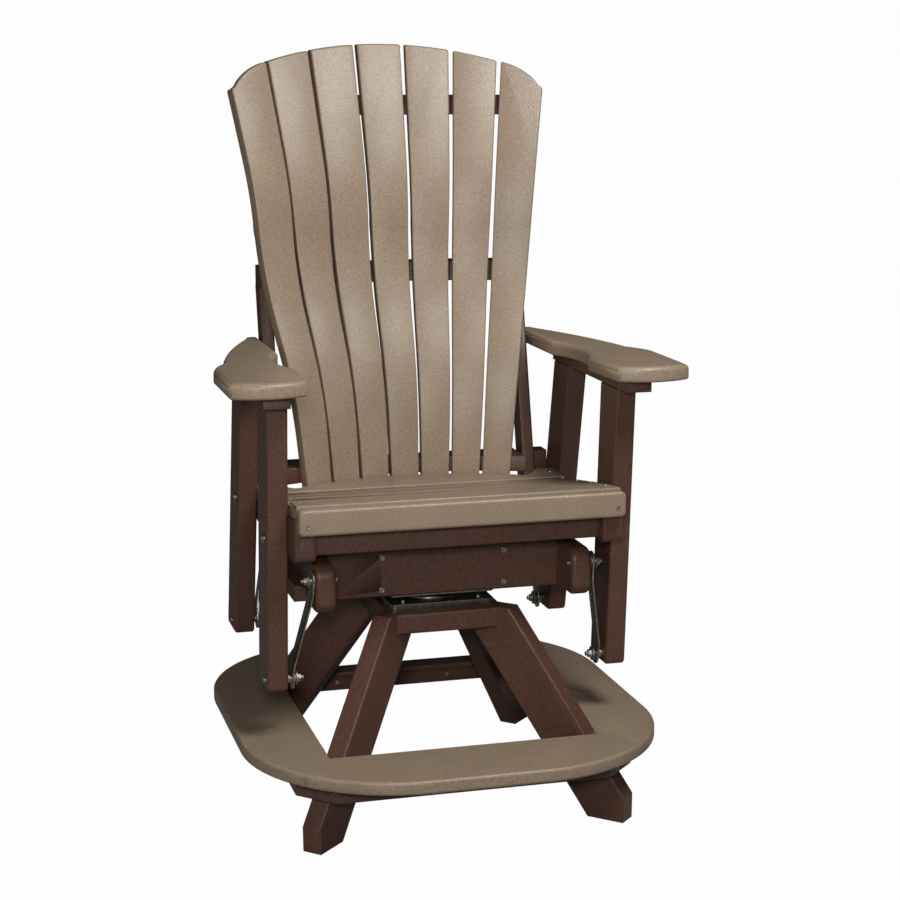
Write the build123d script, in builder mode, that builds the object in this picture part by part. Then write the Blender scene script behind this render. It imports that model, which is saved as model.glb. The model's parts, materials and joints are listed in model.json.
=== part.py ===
from build123d import *
import os
from math import asin, atan2, cos, degrees, hypot, radians, sin, sqrt, tan

# Swivel glider of plastic lumber, in millimetres. Z is up, the sitter faces -Y, +X is at the
# left hand of the sitter, and the origin lies on the floor on the axis of the swivel.

# Lumber
board = 38.0  # thickness of the frame lumber
plank = 89.0  # width of the frame lumber
deck = 25.0  # thickness of the tan boards
edge = 4.0  # rounding of the long edges of the frame lumber
deck_edge = 6.0  # rounding of the edges of the tan boards
overrun = 50.0  # how far a cutting solid runs past what it cuts

# Legs
base_top = 370.0  # level cut of the leg tops
leg_cross = 22.0  # how far in front of the axis the two front legs' mid planes meet
leg_reach = 414.0  # from there to the toe, along the diagonal
leg_top_reach = 176.4  # from there to the outer face of the leg's top
toe_height = 50.0

# Top blocks between the legs
end_block_reach = 145.0  # outer face of the front and rear blocks
side_block_reach = 110.0  # outer face of the left and right blocks
block_edge = 5.0

# Foot ring and the rails under it
ring_top = 156.0
ring_side_reach = 126.8  # outer edge of a side board from the legs' mid lines at the rails
ring_end_reach = 146.8  # outer edge of the front board from there
ring_side_width = 139.0
ring_end_width = 160.0
ring_corner = 285.0
ring_gap_inner = 12.0  # from the rear inner corner to a free end, at its inner edge
ring_gap_outer = 52.0  # and at its outer edge
rail_side_reach = 52.5  # outer face of a side rail from the legs' mid lines at the rails
rail_end_reach = 54.1  # outer face of a front or rear rail from there
rail_depth = 48.0
rail_corner_cut = 62.0

# Swivel
plate_width = 197.0
plate_depth = 220.0
plate_corner = 10.0
plate_skin = 3.0
swivel_height = 26.0  # from the base to the glider frame
lower_plate_height = 9.0
race_radius = 70.0
ball_count = 24
ball_play = 0.05
cage_width = 14.0
cage_height = 4.0
king_radius = 8.0
king_head_radius = 16.0
king_head = 5.0
dish_radius = 84.0
pin_play = 0.1  # radial play of a turning pin
rear_play = 3.2  # radial play in the rear links' lower eyes, where a rubber bush gives
loose = 0.3  # gap between parts that move past each other

# Glider frame
frame_outer = 257.0  # outer faces of the glider side rails
frame_front = -203.0
frame_rear = 291.0
nose_radius = 25.0
rail_edge = 9.0  # rounding of the long edges of the glider rails
cross_front = -113.0  # front face of the front cross board
spacer = 22.0
spacer_height = 31.0
spacer_front = -118.0
spacer_rear = 190.0

# Links, at rest
top_front_y = -187.0
top_rear_y = 275.0
pivot_front_z = 457.0
pivot_rear_rise = 12.0
link_shift = 50.0  # how far the lower pivot stands inside the upper one
link_drop = 191.5
strap = 3.2
strap_width = 32.0
strap_end = 20.0  # from a pivot to the end of the strap
pivot_radius = 4.0
top_washer = 2.0
hub = 4.5  # length of the hub between a strap and its outer washer
low_hub = 10.0  # length of the hub between a strap and its post
hub_radius = 8.0
disc = 2.0  # thickness of the washer under a nut
disc_radius = 13.5
nut_height = 7.0
nut_radius = 8.0
bolt_head = 3.0
bolt_head_radius = 6.5
thread_out = 5.0

# Posts
post_inner = 301.0
front_post_face = -198.0  # front face of the front post at the gauge height
rear_post_face = 75.0
gauge_height = 762.0
front_post_lean = 4.0
rear_post_lean = 12.5
post_foot = 18.0  # from the lower pivot to the foot of the post
post_round = 10.0
post_edge = 5.0  # rounding of the posts' long edges
post_bolt_front_y = -152.0
post_bolt_front_z = 531.0
post_bolt_rear_y = 150.0
post_bolt_rear_z = 541.0

# Seat
seat_half = 297.0
seat_front = -269.0  # front face of the seat's front board
seat_front_top = 603.0
seat_front_height = 47.0
seat_front_half = 298.0
slat_pitch = 81.5
slat_gap = 6.0
seat_start = -242.5  # front edge of the first slat's share
seat_start_top = 606.0
slat_drops = (9.6, 12.9, 13.4, 11.9)  # fall of the seat over each slat
rear_slat_depth = 92.0
rear_slat_drop = -4.6  # the rear slat rises again
seat_bottom = 503.0
seat_rail_nose = 15.0
seat_rail_rear = 155.0
cross_rail_front = -221.0
cross_rail_bottom = 510.0
rear_rail_front = 129.0
rear_rail_rear = 172.0

# Back
slat_count = 7
slat_foot_z = 545.0
gauge_low = 559.0  # height of the lower row of slat centres
gauge_high = 1346.0  # height of the upper row
low_chord = 60.1  # from slat to slat at the lower gauge height
high_chord = 94.3
low_radius = 564.0  # plan bow of the back at the lower gauge height
high_radius = 662.0
low_back_y = 196.8  # back face of the middle slat at the lower gauge height
high_back_y = 391.3
slat_turn = 6.3  # degrees of plan turn from slat to slat
slat_low_width = 54.4
slat_high_width = 86.2
slat_lap = 0.6  # how far the slats' seats in the rails run into each other
slat_bend = 560.0
bend_heights = (724.0, 944.0, 1105.0)
bend_offsets = (-27.7, 9.9, -20.6)  # of the bends from a straight line
straight_z = 1438.0  # height at which the upper stretch would meet that line again
fan_top = 1388.0
fan_shoulder_x = 233.0
fan_shoulder_drop = 34.0  # from the top of the fan, as are the next four
fan_bulge_x = 270.0
fan_bulge_drop = 48.0
fan_flick_x = 296.0
fan_flick_drop = 70.0
fan_hook_x = 304.0
fan_hook_drop = 81.0
fan_corner_x = 323.0
fan_corner_drop = 89.0
low_rail = 30.0
low_rail_bottom = 559.0
low_rail_rear = 245.0
mid_rail_bottom = 927.0
mid_rail_half = 265.0
mid_rail_back = 40.0  # how far it stands behind the middle slat
mid_rail_bow = 25.0  # how much further forward its rear face is at the ends
high_rail_drop = 138.0  # from the top of the fan to its underside
high_rail_half = 268.0
high_rail_back = 50.0
high_rail_bow = 56.0
upright_outer = 266.5
upright_width = 25.0
upright_depth = 44.0
upright_lean = 14.0
upright_gauge_z = 559.0
upright_gauge_y = 171.0
upright_foot = 503.0
cleat_front = 203.0
cleat_foot = 503.0
seat_back_gap = 4.0  # from the rear slat of the seat to the back slats
scoop_inset = 1.0
scoop_depth = 10.0
wing_y = 158.0

# Arms
arm_top = 828.5
arm = 28.5
arm_edge = 10.0
arm_front = -283.0
arm_rear = 287.0
arm_overhang = 74.0  # from the outer face of the posts to the arm's outer edge
arm_front_lap = 22.0  # from the inner face of the posts to the arm's inner front corner
arm_nose_drop = 20.0
arm_shoulder_y = -94.0
arm_notch = 27.0
arm_notch_y = -30.0
arm_waist = 61.0  # how far inside the outer edge the arm passes its waist
arm_waist_y = 118.0
arm_tail = 30.5  # width of the arm's rear end
arm_tail_y = 267.0
arm_tail_cut = 5.0
arm_scoop = 25.0
arm_scoop_rear = 76.0
arm_scoop_front = -127.0
support_inset = 2.5  # from the inner face of the posts
support_width = 48.5
support_height = 24.0
support_front = -241.0
support_rear = 178.0

# Bolts and screws
plate_bolt = 72.0  # distance of the plate's bolts from the middle, across
upper_bolt_x = 80.0
cross_bolt_x = 116.0
cross_bolt_inset = 14.0
lag_radius = 3.5
lag_length = 34.0
lag_head_radius = 4.6
lag_head = 2.2
washer_radius = 5.8
washer = 1.0
carriage_radius = 9.0
carriage_head = 4.0
screw_radius = 4.2
screw_head = 1.0
screw_shank = 2.2
screw_length = 40.0
seat_screw_z = 574.0  # height of the screws in the seat's front board
rear_screw_share = 0.45  # how far back they sit in the rear slat, as a share of its depth
ring_screw_x = 115.6
ring_screw_rise = 17.0  # from the underside of the rear ring rail

# Places that follow from the sizes above
frame_bottom = base_top + swivel_height
rail_top = ring_top - deck
half_board = board / 2
leg_slope = (leg_reach - leg_top_reach) / (base_top - toe_height)
leg_wide = plank * hypot(1, leg_slope)
leg_mid_x = (leg_reach - (rail_top - half_board - toe_height) * leg_slope) / sqrt(2)
leg_mid_y = leg_mid_x + leg_cross
rail_half_width = leg_mid_x + rail_side_reach
rail_half_depth = leg_mid_y + rail_end_reach
ring_half_width = leg_mid_x + ring_side_reach
ring_half_depth = leg_mid_y + ring_end_reach
post_outer = post_inner + board
arm_outer = post_outer + arm_overhang
fan_high = fan_top + plank  # where the back slats end before the fan cuts them
SIDES = (("left", -1), ("right", 1))
ENDS = (("front", -1), ("rear", 1))

os.makedirs("parts", exist_ok=True)


def finish(piece, name):
    """Label a finished piece and write it under its name."""
    piece.part.label = name
    export_step(piece.part, f"parts/{name}.step")


def long_edges(piece, least):
    """Return the straight edges of a piece that are longer than a length."""
    return piece.edges().filter_by(GeomType.LINE).filter_by(lambda e: e.length > least)


def screw(place, head_radius, head_height, shank_radius, length):
    """Add a headed screw; the Z axis of its place points out of its head."""
    with BuildSketch(place) as head:
        Circle(head_radius)
    extrude(head.sketch, amount=head_height)
    with BuildSketch(place) as shank:
        Circle(shank_radius)
    extrude(shank.sketch, amount=-length)


def drill(place, radius, length):
    """Take a blind hole out of the piece being built."""
    with BuildSketch(place) as hole:
        Circle(radius)
    extrude(hole.sketch, amount=-length, mode=Mode.SUBTRACT)


def leg_bolt_place(side, end, height):
    """Return the place of a plate bolt over the mid plane of a leg."""
    return Plane(origin=(side * plate_bolt, end * (plate_bolt + leg_cross), height))


# Legs
legs = {}
for end_name, end in ENDS:
    for side_name, side in SIDES:
        diagonal = Plane(
            origin=(0, end * leg_cross, 0), x_dir=(side, end, 0), z_dir=(end, -side, 0)
        )
        heel = leg_reach + toe_height * leg_slope - leg_wide
        with BuildPart() as leg:
            with BuildSketch(diagonal):
                with BuildLine():
                    Polyline(
                        (leg_reach, 0),
                        (leg_reach, toe_height),
                        (leg_top_reach, base_top),
                        (leg_top_reach - leg_wide, base_top),
                        (heel, 0),
                        close=True,
                    )
                make_face()
            extrude(amount=half_board, both=True)
            fillet(long_edges(leg, base_top / 2), edge)
            drill(leg_bolt_place(side, end, base_top), lag_radius + ball_play, lag_length)
        legs[end_name, side_name] = leg.part
        finish(leg, f"{end_name}_{side_name}_leg")

# Top blocks, whose ends lie on the side faces of the legs
block_side = board / sqrt(2)
blocks = []
for end_name, end in ENDS:
    near = end_block_reach - board
    with BuildPart() as block:
        with BuildSketch(Plane.XY.offset(base_top - board)):
            with BuildLine():
                far_half = end_block_reach - leg_cross - block_side
                near_half = near - leg_cross - block_side
                Polyline(
                    (-far_half, end * end_block_reach),
                    (far_half, end * end_block_reach),
                    (near_half, end * near),
                    (-near_half, end * near),
                    close=True,
                )
            make_face()
        extrude(amount=board)
        face = block.faces().sort_by(Axis.Y)[0 if end < 0 else -1]
        fillet(face.edges().filter_by(Axis.X), block_edge)
    blocks.append(block.part)
for side in (-1, 1):
    near = side_block_reach - board
    with BuildPart() as block:
        with BuildSketch(Plane.XY.offset(base_top - board)):
            with BuildLine():
                far_half = side_block_reach + leg_cross - block_side
                near_half = near + leg_cross - block_side
                Polyline(
                    (side * side_block_reach, -far_half),
                    (side * side_block_reach, far_half),
                    (side * near, near_half),
                    (side * near, -near_half),
                    close=True,
                )
            make_face()
        extrude(amount=board)
        face = block.faces().sort_by(Axis.X)[0 if side < 0 else -1]
        fillet(face.edges().filter_by(Axis.Y), block_edge)
    blocks.append(block.part)
with BuildPart() as top_blocks:
    for block_solid in blocks:
        add(block_solid)
finish(top_blocks, "top_blocks")


def cut_round_legs(piece_legs):
    """Cut the seats of the given legs out of the piece being built."""
    for key in piece_legs:
        add(legs[key], mode=Mode.SUBTRACT)


# Rails under the ring, mitred at the corners and seated round the legs
ring_screw_places = [
    Plane(
        origin=(x, rail_half_depth - rail_depth, rail_top - board + ring_screw_rise),
        z_dir=(0, -1, 0),
    )
    for x in (-ring_screw_x, ring_screw_x)
]
for end_name, end in ENDS:
    with BuildPart() as rail:
        with BuildSketch(Plane.XY.offset(rail_top - board)):
            with BuildLine():
                right = (
                    (rail_half_width - rail_corner_cut, end * rail_half_depth),
                    (
                        rail_half_width - rail_corner_cut / 2,
                        end * (rail_half_depth - rail_corner_cut / 2),
                    ),
                    (rail_half_width - rail_depth, end * (rail_half_depth - rail_depth)),
                )
                left = tuple((-x, y) for x, y in reversed(right))
                Polyline(*right, *left, close=True)
            make_face()
        extrude(amount=board)
        cut_round_legs([(end_name, name) for name, _ in SIDES])
        if end > 0:
            for place in ring_screw_places:
                drill(place, screw_shank + ball_play, screw_length)
    finish(rail, f"ring_rail_{end_name}")
for side_name, side in SIDES:
    with BuildPart() as rail:
        with BuildSketch(Plane.XY.offset(rail_top - board)):
            with BuildLine():
                rear = (
                    (side * rail_half_width, rail_half_depth - rail_corner_cut),
                    (
                        side * (rail_half_width - rail_corner_cut / 2),
                        rail_half_depth - rail_corner_cut / 2,
                    ),
                    (side * (rail_half_width - rail_depth), rail_half_depth - rail_depth),
                )
                front = tuple((x, -y) for x, y in reversed(rear))
                Polyline(*rear, *front, close=True)
            make_face()
        extrude(amount=board)
        cut_round_legs([(name, side_name) for name, _ in ENDS])
    finish(rail, f"ring_rail_{side_name}")


# Boards of the foot ring
def ring_board(corners, piece_legs):
    """Return one board of the ring, made from its share of the outline."""
    with BuildPart() as ring:
        with BuildSketch(Plane.XY.offset(rail_top)):
            RectangleRounded(2 * ring_half_width, 2 * ring_half_depth, ring_corner)
            with BuildLine():
                Polyline(*corners, close=True)
            make_face(mode=Mode.INTERSECT)
        extrude(amount=deck)
        rims = ring.edges().filter_by(lambda e: is_rim(e, ring))
        fillet(rims, deck_edge)
        cut_round_legs(piece_legs)
    return ring


def is_rim(rim, ring):
    """Tell whether an edge is a level one that isn't on a mitre or a cut end."""
    box = rim.bounding_box().size
    if box.Z > deck / 2:
        return False
    straight = rim.geom_type == GeomType.LINE
    return not straight or min(box.X, box.Y) < edge / 2


inner_x, inner_y = ring_half_width - ring_side_width, ring_half_depth - ring_end_width
past = overrun / ring_half_width
outer_x = ring_half_width * (1 + past)
outer_y = inner_y + (outer_x - inner_x) * (ring_half_depth - inner_y) / (
    ring_half_width - inner_x
)
front_ring = ring_board(
    ((-outer_x, -outer_y), (outer_x, -outer_y), (inner_x, -inner_y), (-inner_x, -inner_y)),
    [("front", "left"), ("front", "right")],
)
finish(front_ring, "ring_front_board")
corner_boards = []
for side_name, side in SIDES:
    side_ring = ring_board(
        (
            (side * outer_x, -outer_y),
            (side * outer_x, outer_y),
            (side * inner_x, inner_y),
            (side * inner_x, -inner_y),
        ),
        [("front", side_name), ("rear", side_name)],
    )
    finish(side_ring, f"ring_{side_name}_board")
    end_slope = (ring_gap_outer - ring_gap_inner) / ring_end_width
    free_end = inner_x - ring_gap_inner
    corner_ring = ring_board(
        (
            (side * inner_x, inner_y),
            (side * outer_x, outer_y),
            (side * (free_end - end_slope * (outer_y - inner_y)), outer_y),
            (side * free_end, inner_y),
        ),
        [("rear", side_name)],
    )
    corner_boards.append(corner_ring.part)
with BuildPart() as rear_ring:
    for corner_solid in corner_boards:
        add(corner_solid)
finish(rear_ring, "ring_rear_boards")

# Swivel: a pressed lower pan, a ball race in its cage, and an upper plate
plate_top = base_top + lower_plate_height
upper_bottom = frame_bottom - plate_skin
race_floor = plate_top + plate_skin
ball_space = upper_bottom - race_floor
race_z = race_floor + ball_space / 2
cross_mid = abs(cross_front) - half_board
upper_bolts = [(x, y) for x in (-upper_bolt_x, upper_bolt_x) for y in (-cross_mid, cross_mid)]
with BuildPart() as lower_plate:
    with BuildSketch(Plane.XY.offset(base_top)):
        RectangleRounded(plate_width, plate_depth, plate_corner)
    extrude(amount=lower_plate_height)
    with BuildSketch(Plane.XY.offset(base_top)):
        RectangleRounded(
            plate_width - 2 * plate_skin, plate_depth - 2 * plate_skin, plate_corner - plate_skin
        )
    extrude(amount=lower_plate_height - plate_skin, mode=Mode.SUBTRACT)
    with BuildSketch(Plane.XY.offset(plate_top)):
        Circle(dish_radius)
    extrude(amount=plate_skin)
    fillet(lower_plate.edges().group_by(Axis.Z)[-1], plate_skin / 2)
    with BuildSketch(Plane.XY.offset(base_top)):
        Circle(king_radius)
        for side in (-1, 1):
            for end in (-1, 1):
                with Locations((side * plate_bolt, end * (plate_bolt + leg_cross))):
                    Circle(lag_radius + ball_play)
    extrude(amount=swivel_height, mode=Mode.SUBTRACT)
finish(lower_plate, "swivel_lower_plate")
ball_size = ball_space / 2 - ball_play
with BuildPart() as balls:
    with Locations((0, 0, race_z)):
        with PolarLocations(race_radius, ball_count):
            Sphere(ball_size)
finish(balls, "race_balls")
with BuildPart() as cage:
    with BuildSketch(Plane.XY.offset(race_z - cage_height / 2)):
        Circle(race_radius + cage_width / 2)
        Circle(race_radius - cage_width / 2, mode=Mode.SUBTRACT)
        with PolarLocations(race_radius, ball_count):
            Circle(ball_size + ball_play, mode=Mode.SUBTRACT)
    extrude(amount=cage_height)
finish(cage, "ball_cage")
with BuildPart() as upper_plate:
    with BuildSketch(Plane.XY.offset(upper_bottom)):
        RectangleRounded(plate_width, plate_depth, plate_corner)
    extrude(amount=plate_skin)
    with BuildSketch(Plane.XY.offset(upper_bottom)):
        Circle(king_radius + pin_play)
        with Locations(*upper_bolts):
            Circle(lag_radius + ball_play)
    extrude(amount=plate_skin, mode=Mode.SUBTRACT)
finish(upper_plate, "swivel_upper_plate")
with BuildPart() as king:
    with BuildSketch(Plane.XY.offset(plate_top - plate_skin - king_head)):
        Circle(king_head_radius)
    extrude(amount=king_head)
    with BuildSketch(Plane.XY.offset(plate_top - plate_skin)):
        Circle(king_radius)
    extrude(amount=swivel_height - lower_plate_height + plate_skin + loose)
    with BuildSketch(Plane.XY.offset(frame_bottom + loose)):
        Circle(king_head_radius)
    extrude(amount=king_head)
    fillet(king.edges().group_by(Axis.Z)[-1], king_head / 2)
finish(king, "king_bolt")

# Glider frame, turned by the swivel
frame_mid_z = frame_bottom + plank / 2
frame_inner = frame_outer - board
pivots = {
    "front": (top_front_y, pivot_front_z),
    "rear": (top_rear_y, pivot_front_z + pivot_rear_rise),
}
for side_name, side in SIDES:
    with BuildPart() as glide_rail:
        with BuildSketch(Plane.YZ.offset(side * frame_inner)):
            with Locations(((frame_front + frame_rear) / 2, frame_mid_z)):
                RectangleRounded(frame_rear - frame_front, plank, nose_radius)
        extrude(amount=side * board)
        rims = glide_rail.edges().filter_by(
            lambda e: e.bounding_box().size.X < edge
        )
        fillet(rims, rail_edge)
        with BuildSketch(Plane.YZ.offset(side * frame_inner)):
            with Locations(*pivots.values()):
                Circle(pivot_radius)
        extrude(amount=side * board, mode=Mode.SUBTRACT)
    finish(glide_rail, f"glider_rail_{side_name}")
with BuildPart() as spacers:
    for side in (-1, 1):
        with BuildSketch(Plane.YZ.offset(side * frame_outer)):
            with Locations(
                ((spacer_front + spacer_rear) / 2, frame_bottom + edge + spacer_height / 2)
            ):
                RectangleRounded(spacer_rear - spacer_front, spacer_height, block_edge)
        extrude(amount=side * spacer)
finish(spacers, "spacer_boards")


def cross_bolt_places(end):
    """Return the places of the four bolts on the outer face of a cross board."""
    return [
        Plane(origin=(x, end * abs(cross_front), z), z_dir=(0, end, 0))
        for x in (-cross_bolt_x, cross_bolt_x)
        for z in (frame_bottom + cross_bolt_inset, frame_bottom + plank - cross_bolt_inset)
    ]


def upper_bolt_place(x, y, height):
    """Return the place of a bolt that holds the upper plate, head down."""
    return Plane(origin=(x, y, height), z_dir=(0, 0, -1))


for end_name, end in ENDS:
    with BuildPart() as cross:
        with BuildSketch(Plane.XZ.offset(-end * abs(cross_front))):
            with Locations((0, frame_mid_z)):
                Rectangle(2 * frame_inner, plank)
        extrude(amount=end * board)
        face = cross.faces().sort_by(Axis.Y)[0 if end < 0 else -1]
        fillet(face.edges().filter_by(Axis.X), edge)
        for place in cross_bolt_places(end):
            drill(place, lag_radius + ball_play, lag_length)
        for x, y in upper_bolts:
            if y * end > 0:
                drill(upper_bolt_place(x, y, frame_bottom), lag_radius + ball_play, lag_length)
    finish(cross, f"glider_cross_{end_name}")

# Links: joggled straps from the rails' outer faces to the posts' inner faces
strap_top_x = frame_outer + top_washer
strap_low_x = post_inner - low_hub - strap
link_length = hypot(link_shift, link_drop)
for end_name, end in ENDS:
    top_y, top_z = pivots[end_name]
    for side_name, side in SIDES:
        down = (0, -end * link_shift, -link_drop)
        side_view = Plane(
            origin=(0, top_y, top_z), x_dir=down, z_dir=(side, 0, 0)
        )
        edge_view = Plane(
            origin=(0, top_y, top_z),
            x_dir=down,
            z_dir=Vector(*down).cross(Vector(1, 0, 0)),
        )
        flat = strap_end + deck_edge
        high, low = side * strap_top_x, side * strap_low_x
        with BuildPart() as link:
            with BuildSketch(edge_view) as profile:
                with BuildLine():
                    Polyline(
                        (-strap_end, high),
                        (flat, high),
                        (link_length - flat, low),
                        (link_length + strap_end, low),
                        (link_length + strap_end, low + side * strap),
                        (link_length - flat, low + side * strap),
                        (flat, high + side * strap),
                        (-strap_end, high + side * strap),
                        close=True,
                    )
                make_face()
            extrude(amount=strap_width, both=True)
            with BuildSketch(side_view):
                with Locations((link_length / 2, 0)):
                    SlotOverall(link_length + 2 * strap_end, strap_width)
                low_play = rear_play if end > 0 else pin_play
                Circle(pivot_radius + pin_play, mode=Mode.SUBTRACT)
                with Locations((link_length, 0)):
                    Circle(pivot_radius + low_play, mode=Mode.SUBTRACT)
            extrude(amount=post_inner + overrun, mode=Mode.INTERSECT)
        finish(link, f"link_{end_name}_{side_name}")

# Pivot bolts, with their hubs, washers and nuts as separate solids
def round_piece(x, y, z, height, side, radius, bore=0):
    """Add a round piece on an axis along X, reaching outward from x on one side."""
    with BuildSketch(Plane.YZ.offset(side * x)) as outline:
        with Locations((y, z)):
            Circle(radius)
            if bore:
                Circle(bore, mode=Mode.SUBTRACT)
    extrude(outline.sketch, amount=side * height)


def nut(x, y, z, side):
    """Add a nut on an axis along X, reaching outward from x on one side."""
    with BuildSketch(Plane.YZ.offset(side * x)) as outline:
        with Locations((y, z)):
            RegularPolygon(nut_radius, 6)
            Circle(bore, mode=Mode.SUBTRACT)
    extrude(outline.sketch, amount=side * nut_height)


bore = pivot_radius + ball_play
low_pivots = {
    name: (y - end * link_shift, z - link_drop)
    for (name, end), (y, z) in zip(ENDS, pivots.values())
}
with BuildPart() as top_bolts:
    hub_x = strap_top_x + strap + loose
    disc_x = hub_x + hub
    nut_x = disc_x + disc
    reach = nut_x + nut_height + thread_out - frame_inner
    for side in (-1, 1):
        for y, z in pivots.values():
            round_piece(frame_inner - bolt_head, y, z, bolt_head, side, bolt_head_radius)
            round_piece(frame_inner, y, z, reach, side, pivot_radius)
            round_piece(frame_outer, y, z, top_washer - loose, side, disc_radius, bore)
            round_piece(hub_x, y, z, hub, side, hub_radius, bore)
            round_piece(disc_x, y, z, disc, side, disc_radius, bore)
            nut(nut_x, y, z, side)
finish(top_bolts, "top_pivot_bolts")
with BuildPart() as low_bolts:
    disc_x = strap_low_x - loose - hub - disc
    nut_x = disc_x - nut_height
    reach = post_outer + thread_out - nut_x
    for side in (-1, 1):
        for y, z in low_pivots.values():
            round_piece(post_outer, y, z, bolt_head, side, bolt_head_radius)
            round_piece(nut_x - thread_out, y, z, reach, side, pivot_radius)
            nut(nut_x, y, z, side)
            round_piece(disc_x, y, z, disc, side, disc_radius, bore)
            round_piece(disc_x + disc, y, z, hub, side, hub_radius, bore)
            long_hub_x = post_inner - low_hub + loose
            round_piece(long_hub_x, y, z, low_hub - loose, side, hub_radius, bore)
finish(low_bolts, "low_pivot_bolts")


# Posts, hung on the links
post_top = arm_top - arm - support_height


def post_line(face, lean, z):
    """Return how far back the front face of a post stands at a height."""
    return face + (gauge_height - z) * tan(radians(lean))


post_bolt_places = {
    "front": (post_bolt_front_y, post_bolt_front_z),
    "rear": (post_bolt_rear_y, post_bolt_rear_z),
}
post_sizes = {
    "front": (front_post_face, front_post_lean),
    "rear": (rear_post_face, rear_post_lean),
}
for end_name, end in ENDS:
    face, lean = post_sizes[end_name]
    wide = plank / cos(radians(lean))
    low_y, low_z = low_pivots[end_name]
    foot = low_z - post_foot
    for side_name, side in SIDES:
        with BuildPart() as post:
            with BuildSketch(Plane.YZ.offset(side * post_inner)) as post_side:
                with BuildLine():
                    Polyline(
                        (post_line(face, lean, post_top), post_top),
                        (post_line(face, lean, post_top) + wide, post_top),
                        (post_line(face, lean, foot) + wide, foot),
                        (post_line(face, lean, foot), foot),
                        close=True,
                    )
                make_face()
                fillet(post_side.vertices().group_by(Axis.Y)[0], post_round)
            extrude(amount=side * board)
            fillet(long_edges(post, plank * 2), post_edge)
            with BuildSketch(Plane.YZ.offset(side * post_inner)):
                with Locations((low_y, low_z), post_bolt_places[end_name]):
                    Circle(bore)
            extrude(amount=side * board, mode=Mode.SUBTRACT)
        finish(post, f"{end_name}_{side_name}_post")

# Seat contour: its upper corners, and the underside of the slats
seat_points = [(seat_start, seat_start_top)]
for drop in slat_drops:
    last_y, last_z = seat_points[-1]
    seat_points.append((last_y + slat_pitch, last_z - drop))
last_y, last_z = seat_points[-1]
seat_points.append((last_y + rear_slat_depth, last_z - rear_slat_drop))
slopes = [
    atan2(z0 - z1, y1 - y0) for (y0, z0), (y1, z1) in zip(seat_points, seat_points[1:])
]


def facet_meet(index):
    """Return where the undersides of two facets in a row meet."""
    y, z = seat_points[index]
    mean = (slopes[index - 1] + slopes[index]) / 2
    half = (slopes[index] - slopes[index - 1]) / 2
    depth = deck / cos(half)
    return (y - depth * sin(mean), z - depth * cos(mean))


def underside(y):
    """Return the height of the slats' underside at a distance back."""
    facets = [
        index for index in range(1, len(slopes)) if facet_meet(index)[0] <= y
    ]
    index = max(facets, default=0)
    y0, z0 = seat_points[index]
    return z0 - (y - y0) * tan(slopes[index]) - deck / cos(slopes[index])


seat_back_of_board = seat_front + deck
cross_half = post_inner - board
seat_screw_x = post_inner - half_board


def top_screw_place(index, side, share):
    """Return the place of a screw in the top of a seat slat, from its facet."""
    (y0, z0), (y1, z1) = seat_points[index], seat_points[index + 1]
    return Plane(
        origin=(side * seat_screw_x, y0 + (y1 - y0) * share, z0 + (z1 - z0) * share),
        x_dir=(1, 0, 0),
        z_dir=(0, sin(slopes[index]), cos(slopes[index])),
    )


def seat_screw_places(side):
    """Return the places of the screws over one side rail of the seat."""
    return [
        Plane(origin=(side * seat_screw_x, seat_front, seat_screw_z), z_dir=(0, -1, 0)),
        *(top_screw_place(index, side, 1 / 2) for index in range(len(slat_drops))),
        top_screw_place(len(slat_drops), side, rear_screw_share),
    ]


def drill_seat():
    """Take the holes of the seat screws out of the piece being built."""
    for side in (-1, 1):
        for place in seat_screw_places(side):
            drill(place, screw_shank + ball_play, screw_length)


with BuildPart() as seat_slats:
    for index in range(len(slat_drops)):
        (y0, z0), (y1, z1) = seat_points[index], seat_points[index + 1]
        slope = slopes[index]
        length = hypot(y1 - y0, z1 - z0) - slat_gap
        with BuildSketch(Plane.YZ.offset(-seat_half)):
            middle = (
                (y0 + y1) / 2 - deck / 2 * sin(slope),
                (z0 + z1) / 2 - deck / 2 * cos(slope),
            )
            with Locations(Location(middle, -degrees(slope))):
                Rectangle(length, deck)
        extrude(amount=2 * seat_half)
    for solid in seat_slats.solids():
        top = solid.faces().sort_by(Axis.Z)[-1]
        fillet(top.edges(), deck_edge)
    drill_seat()
finish(seat_slats, "seat_slats")

for side_name, side in SIDES:
    with BuildPart() as seat_rail:
        with BuildSketch(Plane.YZ.offset(side * (post_inner - board))) as rail_side:
            with BuildLine():
                meets = [facet_meet(index) for index in range(1, len(slopes))]
                Polyline(
                    (seat_back_of_board, seat_bottom),
                    (seat_back_of_board, underside(seat_back_of_board)),
                    *meets,
                    (seat_rail_rear, underside(seat_rail_rear)),
                    (seat_rail_rear, seat_bottom),
                    close=True,
                )
            make_face()
            fillet(rail_side.vertices().sort_by(Axis.X)[0:2].sort_by(Axis.Y)[0], seat_rail_nose)
        extrude(amount=side * board)
        fillet(seat_rail.edges().group_by(Axis.Z)[0].filter_by(Axis.Y), edge)
        with BuildSketch(Plane.YZ.offset(side * (post_inner - board))):
            with Locations(post_bolt_places["front"]):
                Circle(bore)
        extrude(amount=side * board, mode=Mode.SUBTRACT)
        drill_seat()
    finish(seat_rail, f"seat_rail_{side_name}")

with BuildPart() as front_cross:
    rear_face = cross_rail_front + board
    with BuildSketch(Plane.YZ.offset(-cross_half)):
        with BuildLine():
            Polyline(
                (cross_rail_front, cross_rail_bottom),
                (cross_rail_front, underside(cross_rail_front)),
                (rear_face, underside(rear_face)),
                (rear_face, cross_rail_bottom),
                close=True,
            )
        make_face()
    extrude(amount=2 * cross_half)
    fillet(front_cross.edges().group_by(Axis.Z)[0].filter_by(Axis.X), edge)
finish(front_cross, "seat_cross_front")

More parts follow.
